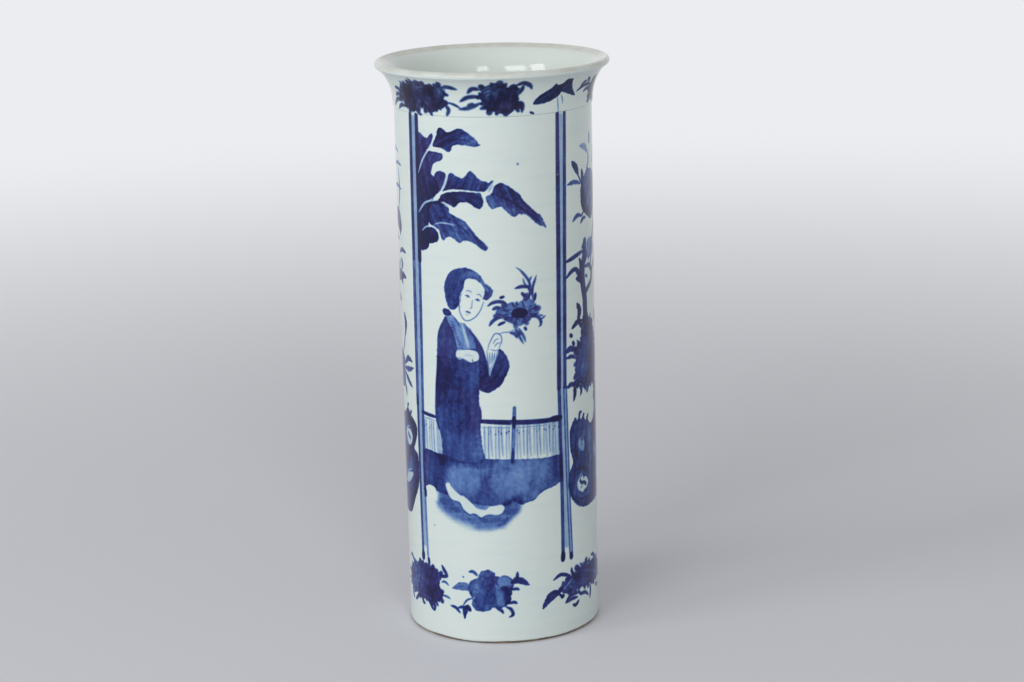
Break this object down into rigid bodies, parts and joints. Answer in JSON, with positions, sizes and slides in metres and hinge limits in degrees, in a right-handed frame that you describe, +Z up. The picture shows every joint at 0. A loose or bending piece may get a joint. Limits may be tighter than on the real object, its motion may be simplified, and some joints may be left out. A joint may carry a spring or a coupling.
{
  "type": "vase",
  "caption": "Tall straight-sided porcelain sleeve vase with a short flared collar, rolled lip and turned foot ring, painted in underglaze cobalt blue.",
  "frame": {"origin": "middle of the face that the foot ring rests on", "axes": "+Z up along the vase's axis, towards the mouth; the panel with the standing lady faces -Y"},
  "size_m": [0.1008, 0.1008, 0.25],
  "materials": {
    "glazed_porcelain": "glossy bluish-white glaze over cobalt painting",
    "bare_foot": "unglazed biscuit, matt, with a rusty tinge at the glaze's edge"
  },
  "bodies": {
    "root": {"mouth_collar": "glazed_porcelain", "body_wall": "glazed_porcelain", "base_disc": "glazed_porcelain", "foot_ring": "bare_foot"}
  },
  "joints": []
}
